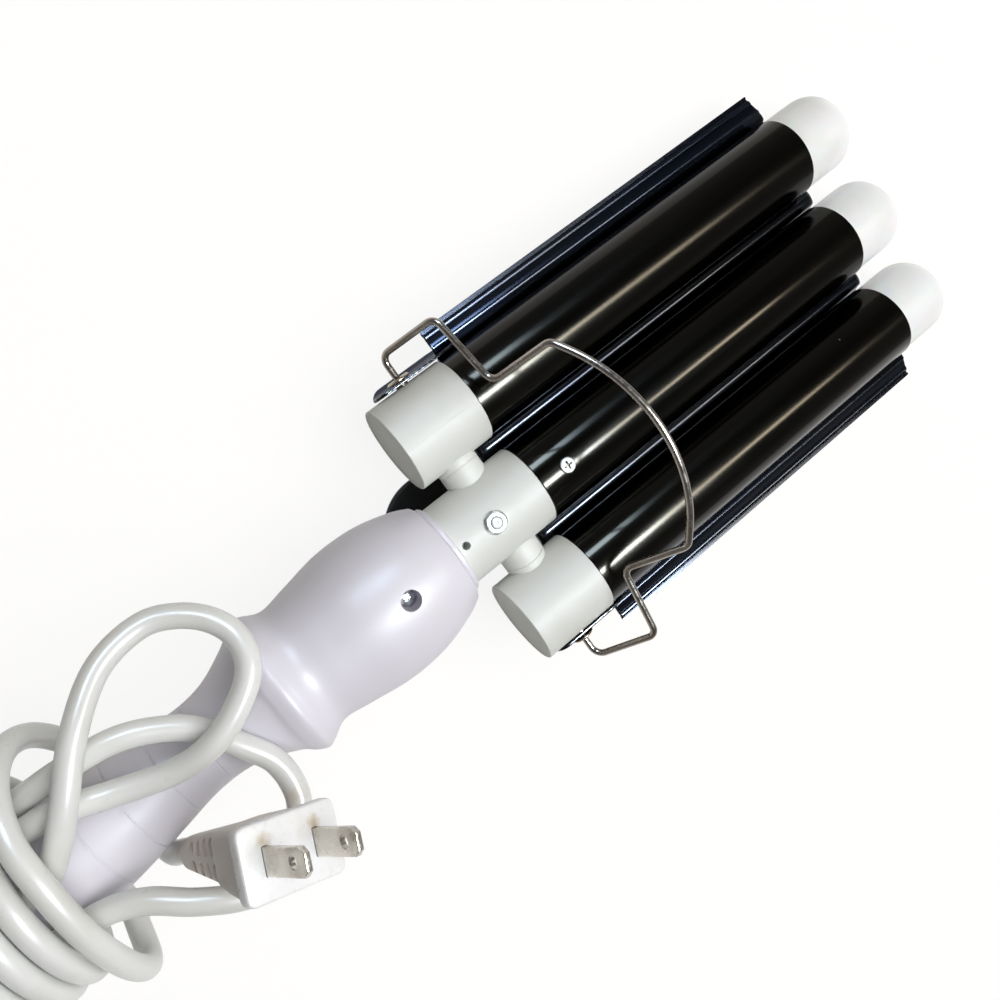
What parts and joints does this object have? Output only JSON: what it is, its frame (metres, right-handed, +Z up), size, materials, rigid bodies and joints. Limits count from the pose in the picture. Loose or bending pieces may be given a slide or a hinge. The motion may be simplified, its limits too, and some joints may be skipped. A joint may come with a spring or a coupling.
{
  "type": "hair waver",
  "caption": "Hair waver with three heated barrels, a sprung clamp plate, a wire rest and a mains cord wound on its handle.",
  "frame": {"origin": "centre of the flat pad of the thumb lever, on the surface that the waver lies on", "axes": "+Z up; +X from the handle towards the tips, level, with the barrels sloping 5.5 degrees down to it; +Y towards the left barrel as seen from the handle"},
  "size_m": [0.4082, 0.1088, 0.1012],
  "materials": {
    "barrel_black": "mirror black enamel with a faint brown sheen",
    "tip_white": "milky white, satin",
    "cap_grey": "light warm grey, fine matt grain",
    "handle_white": "glossy white with a lilac tint",
    "lever_black": "satin black",
    "panel_black": "gloss black",
    "window_smoke": "smoked clear plastic",
    "button_grey": "satin silver grey",
    "steel": "bright zinc-plated steel",
    "wire_steel": "nickel-plated wire, tarnished brown",
    "bush_brass": "tarnished brass",
    "aluminium": "extruded, satin",
    "ceramic": "insulating film over the heater plate",
    "lead_rubber": "silicone sleeve",
    "board_green": "solder resist",
    "part_dark": "moulded component bodies",
    "cord_white": "white flexible vinyl, satin",
    "blade_nickel": "nickel-plated blades, slightly worn"
  },
  "bodies": {
    "root": {"barrel_left": "barrel_black", "cool_tip_left": "tip_white", "heater_left": "ceramic", "heat_spreader_left": "aluminium", "barrel_middle": "barrel_black", "cool_tip_middle": "tip_white", "heater_middle": "ceramic", "heat_spreader_middle": "aluminium", "barrel_right": "barrel_black", "cool_tip_right": "tip_white", "heater_right": "ceramic", "heat_spreader_right": "aluminium", "temperature_sensor": "ceramic", "end_cap_left": "cap_grey", "end_cap_right": "cap_grey", "centre_housing": "cap_grey", "neck_ring": "handle_white", "bridge_collar_left": "cap_grey", "bridge_collar_right": "cap_grey", "housing_bolt": "steel", "housing_nut": "steel", "barrel_screw": "steel", "heater_leads": "lead_rubber", "clamp_spring": "steel", "hinge_bush_left": "bush_brass", "hinge_bush_right": "bush_brass", "handle_shell_front": "handle_white", "handle_shell_back": "handle_white", "handle_screws": "steel", "control_panel": "panel_black", "display_window": "window_smoke", "display_module": "part_dark", "tact_switches": "part_dark", "circuit_board": "board_green", "board_screws": "steel", "board_parts": "part_dark", "mains_lead": "cord_white", "swivel_socket": "steel", "cord_loops": "cord_white", "cord_winding": "cord_white", "cord_tail": "cord_white", "plug_body": "cord_white", "plug_blades": "blade_nickel", "plug_relief": "cord_white"},
    "clamp": {"clamp_plate": "barrel_black", "thumb_lever": "lever_black", "lever_rivets": "steel"},
    "rest": {"wire_rest": "wire_steel"},
    "plus_key": {"button_plus": "button_grey"},
    "minus_key": {"button_minus": "button_grey"},
    "power_key": {"button_power": "button_grey"},
    "swivel": {"cord_swivel": "cord_white"}
  },
  "joints": [
    {"name": "clamp_hinge", "type": "hinge", "parent": "root", "child": "clamp", "pos_m": [0.01233, 0, 0.02795], "axis": [0, 1, 0], "range_deg": [0, 14], "stiffness_Nm_per_rad": 1.2, "springref_deg": -20.05, "deforming": ["clamp_spring"]},
    {"name": "rest_hinge", "type": "hinge", "parent": "root", "child": "rest", "pos_m": [0.01233, 0, 0.02795], "axis": [0, -1, 0], "range_deg": [-14, 75]},
    {"name": "plus_press", "type": "slide", "parent": "root", "child": "plus_key", "axis": [0.0957, 0, 0.9954], "range_m": [0, 0.0008], "stiffness_N_per_m": 600, "springref_m": -0.001},
    {"name": "minus_press", "type": "slide", "parent": "root", "child": "minus_key", "axis": [0.0957, 0, 0.9954], "range_m": [0, 0.0008], "stiffness_N_per_m": 600, "springref_m": -0.001},
    {"name": "power_press", "type": "slide", "parent": "root", "child": "power_key", "axis": [0.0957, 0, 0.9954], "range_m": [0, 0.0008], "stiffness_N_per_m": 600, "springref_m": -0.001},
    {"name": "cord_turn", "type": "hinge", "parent": "root", "child": "swivel", "pos_m": [-0.16434, 0, 0.04614], "axis": [0.9954, 0, -0.0957], "continuous": true}
  ]
}
